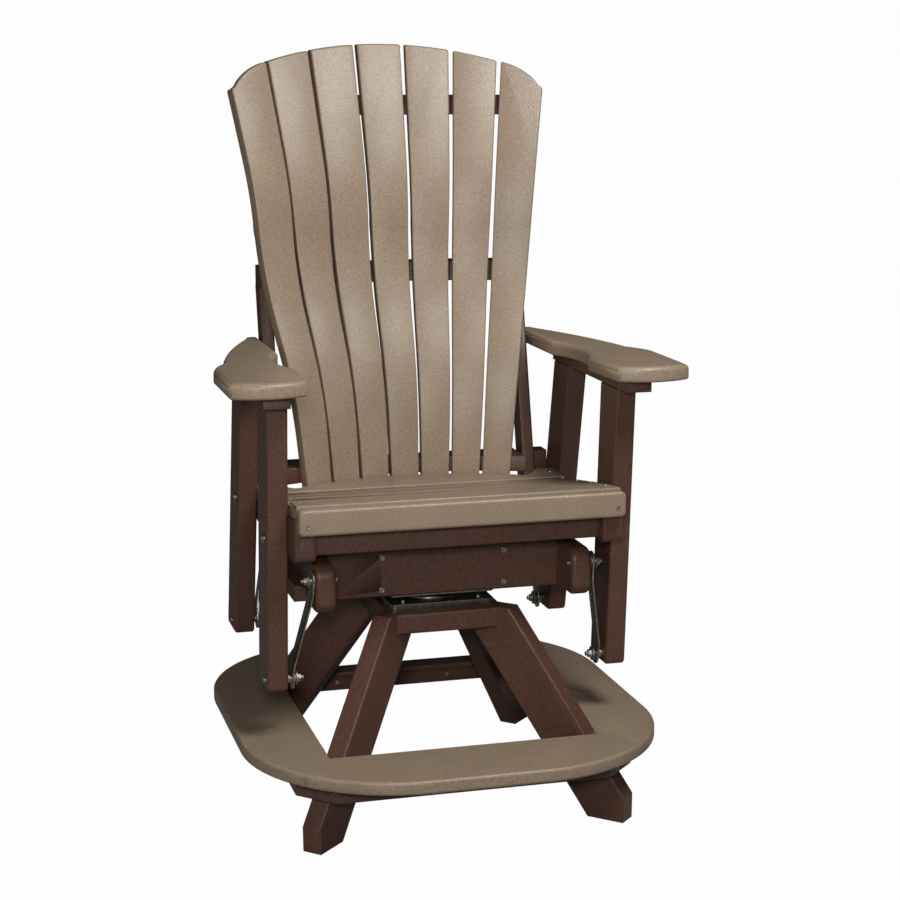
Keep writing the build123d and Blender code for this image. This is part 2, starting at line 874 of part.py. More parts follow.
with BuildPart() as front_board:
    with BuildSketch(Plane.XZ.offset(-seat_back_of_board)):
        with Locations((0, seat_front_top - seat_front_height / 2)):
            RectangleRounded(2 * seat_front_half, seat_front_height, arm_edge)
    extrude(amount=deck)
    fillet(front_board.faces().sort_by(Axis.Y)[0].edges(), deck_edge)
    drill_seat()
finish(front_board, "seat_front_board")


# Back slats: one bent profile, turned in plan and fanned out
def on_bow(radius, chord, back_y, number):
    """Return where the back of a slat stands on a bow, whose front face has the radius."""
    turn = 2 * asin(chord / 2 / radius) * number
    back_radius = radius + deck
    return (back_radius * sin(turn), back_y - back_radius * (1 - cos(turn)))


class SlatPlace:
    """Where one back slat stands, from its number counted from the middle."""

    def __init__(self, number):
        self.turn = radians(slat_turn * number)
        foot = on_bow(low_radius, low_chord, low_back_y, number)
        head = on_bow(high_radius, high_chord, high_back_y, number)
        step_x, step_y = head[0] - foot[0], head[1] - foot[1]
        self.across = (cos(self.turn), -sin(self.turn), 0)
        self.depth = (sin(self.turn), cos(self.turn), 0)
        self.origin = (foot[0], foot[1], 0)
        self.rise = gauge_high - gauge_low
        self.shift = (step_x * cos(self.turn) - step_y * sin(self.turn)) / self.rise
        self.lean = (step_x * sin(self.turn) + step_y * cos(self.turn)) / self.rise
        self.side = Plane(origin=self.origin, x_dir=self.depth, z_dir=self.across)
        self.front = Plane(
            origin=self.origin, x_dir=self.across, z_dir=[-part for part in self.depth]
        )

    def back_line(self):
        """Return the corners of the bent line of the slat's back face."""
        last_z, last = bend_heights[-1], bend_offsets[-1]
        top_offset = last * (straight_z - fan_high) / (straight_z - last_z)
        heights = (slat_foot_z, *bend_heights, fan_high)
        offsets = (0, *bend_offsets, top_offset)
        return [
            (self.lean * (z - gauge_low) + offset, z) for z, offset in zip(heights, offsets)
        ]

    def back_at(self, z):
        """Return how far back the slat's back face is at a height, its bends left sharp."""
        run = self.back_line()
        (y0, z0), (y1, z1) = next(
            pair for pair in zip(run, run[1:]) if z <= pair[1][1] or pair[1] == run[-1]
        )
        return self.origin[1] + y0 + (y1 - y0) * (z - z0) / (z1 - z0)

    def edge_at(self, z, sign, extra=(0, 0)):
        """Return where an edge of the slat runs at a height, with extra width low and high."""
        rise = (z - gauge_low) / self.rise
        wide = slat_low_width + (slat_high_width - slat_low_width) * rise
        more = extra[0] + (extra[1] - extra[0]) * rise
        return self.shift * (z - gauge_low) + sign * (wide / 2 + more)

    def outline(self, extra_left=(0, 0), extra_right=(0, 0)):
        """Return the corners of the slat's tapered outline."""
        return [
            (self.edge_at(slat_foot_z, -1, extra_left), slat_foot_z),
            (self.edge_at(slat_foot_z, 1, extra_right), slat_foot_z),
            (self.edge_at(fan_high, 1, extra_right), fan_high),
            (self.edge_at(fan_high, -1, extra_left), fan_high),
        ]


reach_across = slat_high_width * 2
reach_deep = high_back_y
half_count = slat_count // 2
places = [SlatPlace(number) for number in range(-half_count, half_count + 1)]

shoulder_z = fan_top - fan_shoulder_drop
bulge_z = fan_top - fan_bulge_drop
flick_z = fan_top - fan_flick_drop
hook_z = fan_top - fan_hook_drop
corner_z = fan_top - fan_corner_drop
with BuildPart(mode=Mode.PRIVATE) as fan:
    with BuildSketch(Plane.XZ):
        with BuildLine():
            ThreePointArc(
                (-fan_shoulder_x, shoulder_z), (0, fan_top), (fan_shoulder_x, shoulder_z)
            )
            for sign in (-1, 1):
                ThreePointArc(
                    (sign * fan_shoulder_x, shoulder_z),
                    (sign * fan_bulge_x, bulge_z),
                    (sign * fan_flick_x, flick_z),
                )
                ThreePointArc(
                    (sign * fan_flick_x, flick_z),
                    (sign * fan_hook_x, hook_z),
                    (sign * fan_corner_x, corner_z),
                )
            Polyline(
                (fan_corner_x, corner_z),
                (fan_corner_x + overrun, corner_z),
                (fan_corner_x + overrun, 0),
                (-fan_corner_x - overrun, 0),
                (-fan_corner_x - overrun, corner_z),
                (-fan_corner_x, corner_z),
            )
        make_face()
    extrude(amount=2 * high_back_y, both=True)

slat_names = [f"back_slat_{number + 1}" for number in range(slat_count)]
slats = []
clearers = []
for place, name in zip(places, slat_names):
    with BuildPart() as slat:
        with BuildSketch(place.side):
            with BuildLine():
                FilletPolyline(*place.back_line(), radius=slat_bend)
                offset(amount=deck, side=Side.LEFT)
            make_face()
        extrude(amount=reach_across, both=True)
        with BuildSketch(place.front):
            with BuildLine():
                Polyline(*place.outline(), close=True)
            make_face()
        extrude(amount=reach_deep, both=True, mode=Mode.INTERSECT)
        add(fan.part, mode=Mode.INTERSECT)
    slats.append(slat.part)
    finish(slat, name)

# What the back slats lie against is cut by the space in front of their back faces
cut_reach = 2 * plank
slat_join = tuple(
    (chord * (radius + deck) / radius - wide) / 2 + slat_lap
    for chord, radius, wide in (
        (low_chord, low_radius, slat_low_width),
        (high_chord, high_radius, slat_high_width),
    )
)
wide_join = (plank, plank)
outward = {-half_count: (wide_join, slat_join), half_count: (slat_join, wide_join)}
for place, number in zip(places, range(-half_count, half_count + 1)):
    with BuildPart(mode=Mode.PRIVATE) as clearer:
        with BuildSketch(place.side):
            with BuildLine():
                run = place.back_line()
                FilletPolyline(*run, radius=slat_bend)
                Polyline(
                    run[-1],
                    (run[-1][0] - cut_reach, run[-1][1]),
                    (run[0][0] - cut_reach, run[0][1]),
                    run[0],
                )
            make_face()
        extrude(amount=reach_across * 2, both=True)
        with BuildSketch(place.front):
            with BuildLine():
                Polyline(
                    *place.outline(*outward.get(number, (slat_join, slat_join))), close=True
                )
            make_face()
        extrude(amount=reach_deep, both=True, mode=Mode.INTERSECT)
    clearers.append(clearer.part)


# Uprights behind the back slats, leaning back
def upright_y(z):
    """Return how far back the front face of an upright stands at a height."""
    return upright_gauge_y + (z - upright_gauge_z) * tan(radians(upright_lean))


upright_wide = upright_depth / cos(radians(upright_lean))
uprights = []
for side_name, side in SIDES:
    with BuildPart() as upright:
        with BuildSketch(Plane.YZ.offset(side * (upright_outer - upright_width))):
            with BuildLine():
                Polyline(
                    (upright_y(upright_foot), upright_foot),
                    (upright_y(mid_rail_bottom), mid_rail_bottom),
                    (upright_y(mid_rail_bottom) + upright_wide, mid_rail_bottom),
                    (upright_y(upright_foot) + upright_wide, upright_foot),
                    close=True,
                )
            make_face()
        extrude(amount=side * upright_width)
        fillet(long_edges(upright, plank * 2), edge)
    uprights.append(upright.part)
    finish(upright, f"back_upright_{side_name}")

with BuildPart() as cleats:
    for side in (-1, 1):
        with BuildSketch(Plane.YZ.offset(side * upright_outer)) as cleat_side:
            with BuildLine():
                Polyline(
                    (cleat_front, cleat_foot),
                    (cleat_front, low_rail_bottom + low_rail),
                    (cleat_front + board, low_rail_bottom + low_rail),
                    (cleat_front + board, cleat_foot),
                    close=True,
                )
            make_face()
        extrude(amount=side * (post_inner - upright_outer))
finish(cleats, "back_cleats")


# Back rails, with bevelled faces where the slats lie on them
def back_rail(name, half, rear, bow, bottom, height, rounding):
    """Make a level rail, bowed at the rear, from a board and the slats' seats in it."""
    front = rear - 2 * plank
    with BuildPart() as rail:
        with BuildSketch(Plane.XY.offset(bottom)):
            with BuildLine():
                Polyline((half, rear - bow), (half, front), (-half, front), (-half, rear - bow))
                if bow:
                    ThreePointArc((-half, rear - bow), (0, rear), (half, rear - bow))
                else:
                    Line((-half, rear), (half, rear))
            make_face()
        extrude(amount=height)
        for clearer in clearers:
            add(clearer, mode=Mode.SUBTRACT)
        if rounding:
            fillet(rail.edges().filter_by(Axis.Z).group_by(Axis.Y)[-1], rounding)
    finish(rail, name)


middle_slat = places[half_count]
high_rail_bottom = fan_top - high_rail_drop
back_rail(
    "back_rail_low",
    upright_outer - upright_width,
    low_rail_rear,
    0,
    low_rail_bottom,
    low_rail,
    0,
)
back_rail(
    "back_rail_mid",
    mid_rail_half,
    middle_slat.back_at(mid_rail_bottom + half_board) + mid_rail_back,
    mid_rail_bow,
    mid_rail_bottom,
    board,
    arm_edge,
)
back_rail(
    "back_rail_high",
    high_rail_half,
    middle_slat.back_at(high_rail_bottom + half_board) + high_rail_back,
    high_rail_bow,
    high_rail_bottom,
    board,
    arm_edge,
)

# Rear rail of the seat, between the side rails and in front of the uprights
with BuildPart() as rear_cross:
    with BuildSketch(Plane.YZ.offset(-cross_half)):
        with BuildLine():
            Polyline(
                (rear_rail_front, seat_bottom),
                (rear_rail_front, underside(rear_rail_front)),
                (rear_rail_rear, underside(rear_rail_rear)),
                (rear_rail_rear, seat_bottom),
                close=True,
            )
        make_face()
    extrude(amount=2 * cross_half)
    for upright_solid in uprights:
        add(upright_solid, mode=Mode.SUBTRACT)
finish(rear_cross, "seat_cross_rear")

# Rear slat of the seat, cut to the bow of the back and scooped beside it
lowest_face = middle_slat.origin[1] - deck * hypot(1, middle_slat.lean)
middle_clear = lowest_face + middle_slat.lean * (slat_foot_z - gauge_low) - seat_back_gap
bow_half = places[-1].origin[0] + slat_low_width / 2
bow_depth = low_radius - sqrt(low_radius**2 - bow_half**2)
side_clear = middle_clear - bow_depth - scoop_inset
scoop_end = upright_outer - upright_width
with BuildPart() as rear_slat:
    (y0, z0), (y1, z1) = seat_points[-2], seat_points[-1]
    slope = slopes[-1]
    with BuildSketch(Plane.YZ.offset(-post_inner)):
        with BuildLine():
            start = y0 + slat_gap / 2
            Polyline(
                (start, z0 - (start - y0) * tan(slope)),
                (y1, z1),
                (y1 - deck * sin(slope), z1 - deck * cos(slope)),
                (start - deck * sin(slope), z0 - (start - y0) * tan(slope) - deck * cos(slope)),
                close=True,
            )
        make_face()
    extrude(amount=2 * post_inner)
    with BuildSketch(Plane.XY):
        with BuildLine():
            ThreePointArc((-bow_half, side_clear), (0, middle_clear), (bow_half, side_clear))
            for sign in (-1, 1):
                ThreePointArc(
                    (sign * bow_half, side_clear),
                    (sign * (bow_half + scoop_end) / 2, side_clear - scoop_depth),
                    (sign * scoop_end, side_clear),
                )
                Line((sign * scoop_end, side_clear), (sign * cross_half, wing_y))
                Line((sign * cross_half, wing_y), (sign * post_inner, wing_y))
            Polyline(
                (-post_inner, wing_y), (-post_inner, 0), (post_inner, 0), (post_inner, wing_y)
            )
        make_face()
    extrude(amount=arm_top, mode=Mode.INTERSECT)
    fillet(rear_slat.faces().sort_by(Axis.Z)[-1].edges().sort_by(Axis.Y)[0], deck_edge)
    drill_seat()
    for side in (-1, 1):
        bolt_y, bolt_z = post_bolt_places["rear"]
        bolt_place = Plane(origin=(side * post_inner, bolt_y, bolt_z), z_dir=(side, 0, 0))
        drill(bolt_place, bore, board)
finish(rear_slat, "seat_slat_rear")

# Arms and the boards under them
support_mid = post_inner + support_inset + support_width / 2
arm_front_inner = post_inner - arm_front_lap
arm_tail_x = upright_outer + arm_tail
with BuildPart() as supports:
    for side in (-1, 1):
        with BuildSketch(Plane.XY.offset(post_top)):
            with Locations((side * support_mid, (support_front + support_rear) / 2)):
                Rectangle(support_width, support_rear - support_front)
        extrude(amount=support_height)
    fillet(supports.edges().group_by(Axis.Z)[0], edge / 2)
finish(supports, "arm_supports")
for side_name, side in SIDES:
    with BuildPart() as armrest:
        with BuildSketch(Plane.XY.offset(arm_top - arm)):
            with BuildLine():
                front_inner = (side * arm_front_inner, arm_front + arm_nose_drop)
                front_outer = (side * arm_outer, arm_front + arm_nose_drop)
                ThreePointArc(
                    front_inner, (side * (arm_front_inner + arm_outer) / 2, arm_front), front_outer
                )
                notch = (side * (arm_outer - arm_notch), arm_notch_y)
                Line(front_outer, (side * arm_outer, arm_shoulder_y))
                ThreePointArc(
                    (side * arm_outer, arm_shoulder_y),
                    (side * (arm_outer - arm_notch / 3), (arm_shoulder_y + arm_notch_y) / 2),
                    notch,
                )
                ThreePointArc(
                    notch,
                    (side * (arm_outer - arm_waist), arm_waist_y),
                    (side * arm_tail_x, arm_tail_y),
                )
                Polyline(
                    (side * arm_tail_x, arm_tail_y),
                    (side * (arm_tail_x - arm_tail_cut), arm_rear),
                    (side * upright_outer, arm_rear),
                    (side * upright_outer, arm_scoop_rear),
                )
                ThreePointArc(
                    (side * upright_outer, arm_scoop_rear),
                    (side * (upright_outer + arm_scoop), (arm_scoop_rear + arm_scoop_front) / 2),
                    (side * (upright_outer + edge), arm_scoop_front),
                )
                Line((side * (upright_outer + edge), arm_scoop_front), front_inner)
            make_face()
        extrude(amount=arm)
        fillet(armrest.edges().group_by(Axis.Z)[-1], arm_edge)
        fillet(armrest.edges().group_by(Axis.Z)[0], arm_edge / 2)
    finish(armrest, f"arm_{side_name}")

# Bolts and screws, each kind in one node
with BuildPart() as base_screws:
    for side in (-1, 1):
        for end in (-1, 1):
            screw(
                leg_bolt_place(side, end, plate_top),
                lag_head_radius,
                lag_head,
                lag_radius,
                lag_length + lower_plate_height,
            )
    for place in ring_screw_places:
        screw(place, screw_radius, screw_head, screw_shank, screw_length)
finish(base_screws, "base_screws")
with BuildPart() as frame_bolts:
    for end in (-1, 1):
        for place in cross_bolt_places(end):
            screw(place, washer_radius, washer, lag_radius, lag_length)
            screw(place.offset(washer), lag_head_radius, lag_head, lag_radius, washer)
    for x, y in upper_bolts:
        place = upper_bolt_place(x, y, upper_bottom)
        screw(place, lag_head_radius, lag_head, lag_radius, lag_length + plate_skin)
finish(frame_bolts, "frame_bolts")
with BuildPart() as post_bolts:
    for side in (-1, 1):
        for y, z in post_bolt_places.values():
            outer = Plane(origin=(side * post_outer, y, z), z_dir=(side, 0, 0))
            screw(outer, carriage_radius, carriage_head, pivot_radius, 2 * board - edge)
    domes = post_bolts.faces().filter_by(Axis.X)
    rims = domes.group_by(Axis.X)[0].edges() + domes.group_by(Axis.X)[-1].edges()
    fillet(rims, carriage_head - loose)
finish(post_bolts, "post_bolts")
with BuildPart() as seat_screws:
    for side in (-1, 1):
        for place in seat_screw_places(side):
            screw(place, screw_radius, screw_head, screw_shank, screw_length)
finish(seat_screws, "seat_screws")
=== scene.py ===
"""Looks of an outdoor swivel glider in plastic lumber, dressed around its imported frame."""

import json
import logging
import math
from collections.abc import Sequence
from dataclasses import dataclass, field
from enum import Enum

import bpy
import numpy as np
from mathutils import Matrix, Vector

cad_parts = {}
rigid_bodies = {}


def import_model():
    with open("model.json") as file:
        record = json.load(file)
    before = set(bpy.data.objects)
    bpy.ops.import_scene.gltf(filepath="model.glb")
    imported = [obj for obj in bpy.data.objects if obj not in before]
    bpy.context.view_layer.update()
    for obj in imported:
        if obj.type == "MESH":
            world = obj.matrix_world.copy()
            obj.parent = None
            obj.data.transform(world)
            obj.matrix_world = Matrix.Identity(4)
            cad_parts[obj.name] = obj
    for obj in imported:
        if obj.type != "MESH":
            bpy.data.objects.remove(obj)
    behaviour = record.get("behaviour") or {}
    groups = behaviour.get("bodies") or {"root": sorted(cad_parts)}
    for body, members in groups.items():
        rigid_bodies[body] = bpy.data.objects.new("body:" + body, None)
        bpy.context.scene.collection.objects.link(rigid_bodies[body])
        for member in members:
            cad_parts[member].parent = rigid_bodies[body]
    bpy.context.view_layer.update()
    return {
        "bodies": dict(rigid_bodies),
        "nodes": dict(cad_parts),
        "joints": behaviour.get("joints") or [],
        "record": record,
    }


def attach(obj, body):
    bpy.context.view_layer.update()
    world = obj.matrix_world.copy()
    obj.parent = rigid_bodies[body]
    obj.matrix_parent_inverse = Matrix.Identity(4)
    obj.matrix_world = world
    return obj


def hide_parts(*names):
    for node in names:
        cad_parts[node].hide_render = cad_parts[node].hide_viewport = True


logging.basicConfig(level=logging.INFO, format="%(message)s")
log = logging.getLogger("glider")

MM = 0.001
WHITE = (1.0, 1.0, 1.0, 1.0)
# Blender's noise keeps mostly between these values.
NOISE_LOW, NOISE_HIGH = 0.3, 0.7
SMOOTH_ANGLE = math.radians(32)


class Slot(Enum):
    """Material slots of the record."""

    TAN = "tan_lumber"
    BROWN = "brown_lumber"
    STAINLESS = "stainless_steel"
    ZINC = "zinc_plated_steel"


def linear(code: str, alpha: float = 1.0) -> tuple[float, float, float, float]:
    """Turn an sRGB hex value into a linear colour.

    Args:
        code: Six hex digits after a hash sign.
        alpha: Opacity to add.

    Returns:
        Red, green, blue and alpha.
    """
    parts = [int(code[i : i + 2], 16) / 255 for i in (1, 3, 5)]
    red, green, blue = (
        part / 12.92 if part <= 0.04045 else ((part + 0.055) / 1.055) ** 2.4 for part in parts
    )
    return red, green, blue, alpha


def add_node(
    tree: bpy.types.NodeTree, kind: str, links: dict | None = None, **settings
) -> bpy.types.Node:
    """Add a shader node with its settings and links.

    Args:
        tree: Node tree that gets the node.
        kind: Blender's type name of the node.
        links: Input name or number to a value, or to an output socket.
        **settings: Properties of the node.

    Returns:
        The new node.
    """
    node = tree.nodes.new(kind)
    for name, value in settings.items():
        setattr(node, name, value)
    for key, value in (links or {}).items():
        if isinstance(value, bpy.types.NodeSocket):
            tree.links.new(value, node.inputs[key])
        else:
            node.inputs[key].default_value = value
    return node


def new_material(name: str) -> tuple[bpy.types.Material, bpy.types.NodeTree]:
    """Make an empty node material.

    Args:
        name: Name of the material.

    Returns:
        The material and its node tree.
    """
    material = bpy.data.materials.new(name)
    material.use_nodes = True
    material.node_tree.nodes.clear()
    return material, material.node_tree


@dataclass(frozen=True)
class PlasticLumber:
    """Extruded HDPE lumber: coloured through, with a pebbled satin skin and fine flecks.

    Attributes:
        name: Name of the material.
        base: Main colour.
        dark: Colour of the dark flecks.
        light: Colour of the light flecks.
        fleck: Spacing of the flecks, in millimetres.
        pebble: Spacing of the skin's pebbles, in millimetres.
        relief: Height of the pebbles, in millimetres.
        roughness: Roughness of the skin.
        reach: How far the noise value strays from a half where the end colours are full.
        cloud: Spacing of the slow change in brightness, in millimetres.
        cloud_depth: How far the brightness strays from 1.
        bump_span: Bump distance over the relief, as the noise fills only part of its range.
        polish: How much smoother than the mean the smoothest skin is.
        wear: How much rougher than the mean the roughest skin is.
    """

    name: str
    base: str
    dark: str
    light: str
    fleck: float = 2.3
    pebble: float = 2.2
    relief: float = 0.1
    roughness: float = 0.44
    reach: float = 0.2
    cloud: float = 90.0
    cloud_depth: float = 0.05
    bump_span: float = 4.0
    polish: float = 0.05
    wear: float = 0.07

    def material(self) -> bpy.types.Material:
        """Build the node material."""
        material, tree = new_material(self.name)
        place = add_node(tree, "ShaderNodeTexCoord").outputs["Object"]
        # One noise cell is about 1 / scale metres wide, so the scale is 1000 over the spacing.
        flecks = add_node(
            tree,
            "ShaderNodeTexNoise",
            {"Vector": place, "Scale": 1000 / self.fleck, "Detail": 2.0, "Roughness": 0.6},
        )
        tones = add_node(tree, "ShaderNodeValToRGB", {"Fac": flecks.outputs["Fac"]})
        ramp = tones.color_ramp
        ramp.elements[0].position, ramp.elements[0].color = 0.5 - self.reach, linear(self.dark)
        ramp.elements[1].position, ramp.elements[1].color = 0.5 + self.reach, linear(self.light)
        ramp.elements.new(0.5).color = linear(self.base)
        cloud = add_node(
            tree,
            "ShaderNodeTexNoise",
            {"Vector": place, "Scale": 1000 / self.cloud, "Detail": 2.0, "Roughness": 0.5},
        )
        shade = add_node(
            tree,
            "ShaderNodeMapRange",
            {
                "Value": cloud.outputs["Fac"],
                "From Min": NOISE_LOW,
                "From Max": NOISE_HIGH,
                "To Min": 1 - self.cloud_depth,
                "To Max": 1 + self.cloud_depth,
            },
        )
        colour = add_node(
            tree,
            "ShaderNodeVectorMath",
            {0: tones.outputs["Color"], "Scale": shade.outputs["Result"]},
            operation="SCALE",
        )
        skin = add_node(
            tree,
            "ShaderNodeTexNoise",
            {"Vector": place, "Scale": 1000 / self.pebble, "Detail": 3.0, "Roughness": 0.55},
        )
        bump = add_node(
            tree,
            "ShaderNodeBump",
            {
                "Height": skin.outputs["Fac"],
                "Strength": 1.0,
                "Distance": self.relief * self.bump_span * MM,
            },
        )
        gloss = add_node(
            tree,
            "ShaderNodeMapRange",
            {
                "Value": skin.outputs["Fac"],
                "From Min": NOISE_LOW,
                "From Max": NOISE_HIGH,
                "To Min": self.roughness - self.polish,
                "To Max": self.roughness + self.wear,
            },
        )
        shader = add_node(
            tree,
            "ShaderNodeBsdfPrincipled",
            {
                "Base Color": colour.outputs["Vector"],
                "Roughness": gloss.outputs["Result"],
                "IOR": 1.5,
                "Normal": bump.outputs["Normal"],
            },
        )
        add_node(tree, "ShaderNodeOutputMaterial", {"Surface": shader.outputs["BSDF"]})
        return material


@dataclass(frozen=True)
class Steel:
    """Steel of the fasteners, links and swivel, with fine drawn lines.

    Attributes:
        name: Name of the material.
        base: Colour of the metal.
        stain: Colour of the dull patches.
        line: Spacing of the drawn lines, in millimetres.
        along: Scale of the lines on each axis; a small value draws them out along it.
        roughness: Mean roughness.
        patch: Spacing of the dull patches, in millimetres.
        groove: Depth of the drawn lines, in millimetres.
        polish: How much smoother than the mean the smoothest metal is.
        wear: How much rougher than the mean the roughest metal is.
    """

    name: str
    base: str
    stain: str
    line: float = 0.7
    along: tuple[float, float, float] = (1.0, 1.0, 0.08)
    roughness: float = 0.4
    patch: float = 14.0
    groove: float = 0.05
    polish: float = 0.08
    wear: float = 0.12

    def material(self) -> bpy.types.Material:
        """Build the node material."""
        material, tree = new_material(self.name)
        place = add_node(tree, "ShaderNodeTexCoord").outputs["Object"]
        drawn = add_node(tree, "ShaderNodeMapping", {"Vector": place, "Scale": self.along})
        lines = add_node(
            tree,
            "ShaderNodeTexNoise",
            {"Vector": drawn.outputs["Vector"], "Scale": 1000 / self.line, "Detail": 2.0},
        )
        patches = add_node(
            tree, "ShaderNodeTexNoise", {"Vector": place, "Scale": 1000 / self.patch, "Detail": 3.0}
        )
        colour = add_node(tree, "ShaderNodeValToRGB", {"Fac": patches.outputs["Fac"]})
        colour.color_ramp.elements[0].position = 0.35
        colour.color_ramp.elements[0].color = linear(self.stain)
        colour.color_ramp.elements[1].position = 0.6
        colour.color_ramp.elements[1].color = linear(self.base)
        gloss = add_node(
            tree,
            "ShaderNodeMapRange",
            {
                "Value": lines.outputs["Fac"],
                "From Min": NOISE_LOW,
                "From Max": NOISE_HIGH,
                "To Min": self.roughness - self.polish,
                "To Max": self.roughness + self.wear,
            },
        )
        bump = add_node(
            tree,
            "ShaderNodeBump",
            {"Height": lines.outputs["Fac"], "Strength": 0.25, "Distance": self.groove * MM},
        )
        shader = add_node(
            tree,
            "ShaderNodeBsdfPrincipled",
            {
                "Base Color": colour.outputs["Color"],
                "Roughness": gloss.outputs["Result"],
                "Metallic": 1.0,
                "Normal": bump.outputs["Normal"],
            },
        )
        add_node(tree, "ShaderNodeOutputMaterial", {"Surface": shader.outputs["BSDF"]})
        return material


@dataclass
class Palette:
    """The finishes of the chair, one for each material slot."""

    tan: PlasticLumber = PlasticLumber(
        "hdpe_lumber_tan", "#95826D", "#826F5A", "#A6947E", roughness=0.38
    )
    brown: PlasticLumber = PlasticLumber(
        "hdpe_lumber_brown", "#593B2F", "#492F25", "#70513F", fleck=2.0, relief=0.14, roughness=0.4
    )
    stainless: Steel = Steel("stainless_steel_drawn", "#BDB9B2", "#96918A")
    zinc: Steel = Steel(
        "zinc_plated_sheet", "#98948B", "#78736B", along=(0.1, 1.0, 1.0), roughness=0.38
    )
    made: dict[Slot, bpy.types.Material] = field(default_factory=dict)

    def __post_init__(self) -> None:
        """Build all the materials."""
        for slot, finish in (
            (Slot.TAN, self.tan),
            (Slot.BROWN, self.brown),
            (Slot.STAINLESS, self.stainless),
            (Slot.ZINC, self.zinc),
        ):
            self.made[slot] = finish.material()

    def dress(self, piece: bpy.types.Object, slot: Slot) -> None:
        """Give a piece the material of a slot, in place of what it has.

        Args:
            piece: Mesh object.
            slot: Slot of its finish.
        """
        piece.data.materials.clear()
        piece.data.materials.append(self.made[slot])


@dataclass
class Bench:
    """Where pieces are made: the frame, its finishes and the moves that all pieces share.

    Attributes:
        palette: Finishes of the chair.
        weld: Distance within which vertices are joined, in millimetres.
        flat: Angle below which faces are taken as one plane.
        corner: Angle above which an edge is a corner.
    """

    frame: dict
    palette: Palette
    weld: float = 0.02
    flat: float = math.radians(0.3)
    corner: float = math.radians(30)

    def body_of(self, node: str) -> str:
        """Return the body that holds a CAD node."""
        bodies = self.frame["record"]["behaviour"]["bodies"]
        return next(body for body, nodes in bodies.items() if node in nodes)

    @staticmethod
    def pick(piece: bpy.types.Object) -> None:
        """Select one object alone and make it active."""
        bpy.ops.object.select_all(action="DESELECT")
        piece.select_set(True)
        bpy.context.view_layer.objects.active = piece

    def settle(self, piece: bpy.types.Object, slot: Slot, nodes: Sequence[str]) -> bpy.types.Object:
        """Dress a finished piece, let it ride, and let it stand for its CAD nodes.

        Args:
            piece: Finished mesh object at the origin.
            slot: Slot of its finish.
            nodes: CAD nodes that it replaces.

        Returns:
            The piece.
        """
        self.palette.dress(piece, slot)
        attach(piece, self.body_of(nodes[0]))
        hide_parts(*nodes)
        log.info("piece %s: %d faces", piece.name, len(piece.data.polygons))
        return piece

    def board(
        self, node: str, name: str, slot: Slot, round_mm: float, least_mm: float = 0.0
    ) -> bpy.types.Object:
        """Make a finished board from a copy of its CAD node, with eased edges.

        Args:
            node: CAD node to copy and replace.
            name: Name of the new piece.
            slot: Slot of its finish.
            round_mm: Width of the easing.
            least_mm: Edges shorter than this stay sharp, such as those of holes.

        Returns:
            The new piece.
        """
        piece = bpy.data.objects.new(name, self.frame["nodes"][node].data.copy())
        bpy.context.scene.collection.objects.link(piece)
        self.pick(piece)
        bpy.ops.object.mode_set(mode="EDIT")
        bpy.ops.mesh.select_all(action="SELECT")
        bpy.ops.mesh.remove_doubles(threshold=self.weld * MM)
        bpy.ops.mesh.dissolve_limited(angle_limit=self.flat)
        bpy.ops.mesh.select_all(action="DESELECT")
        bpy.ops.mesh.select_mode(type="EDGE")
        bpy.ops.mesh.edges_select_sharp(sharpness=self.corner)
        bpy.ops.object.mode_set(mode="OBJECT")
        weights = piece.data.attributes.new("bevel_weight_edge", "FLOAT", "EDGE")
        places = [vertex.co for vertex in piece.data.vertices]
        for edge in piece.data.edges:
            start, end = (places[index] for index in edge.vertices)
            sharp = edge.select and (start - end).length > least_mm * MM
            weights.data[edge.index].value = 1.0 if sharp else 0.0
        if round_mm:
            bevel = piece.modifiers.new("eased", "BEVEL")
            bevel.limit_method = "WEIGHT"
            bevel.width = round_mm * MM
            bevel.segments = 3
            bevel.use_clamp_overlap = False
            bevel.miter_outer = "MITER_ARC"
            bpy.ops.object.modifier_apply(modifier=bevel.name)
        bpy.ops.object.shade_smooth_by_angle(angle=SMOOTH_ANGLE)
        return self.settle(piece, slot, [node])


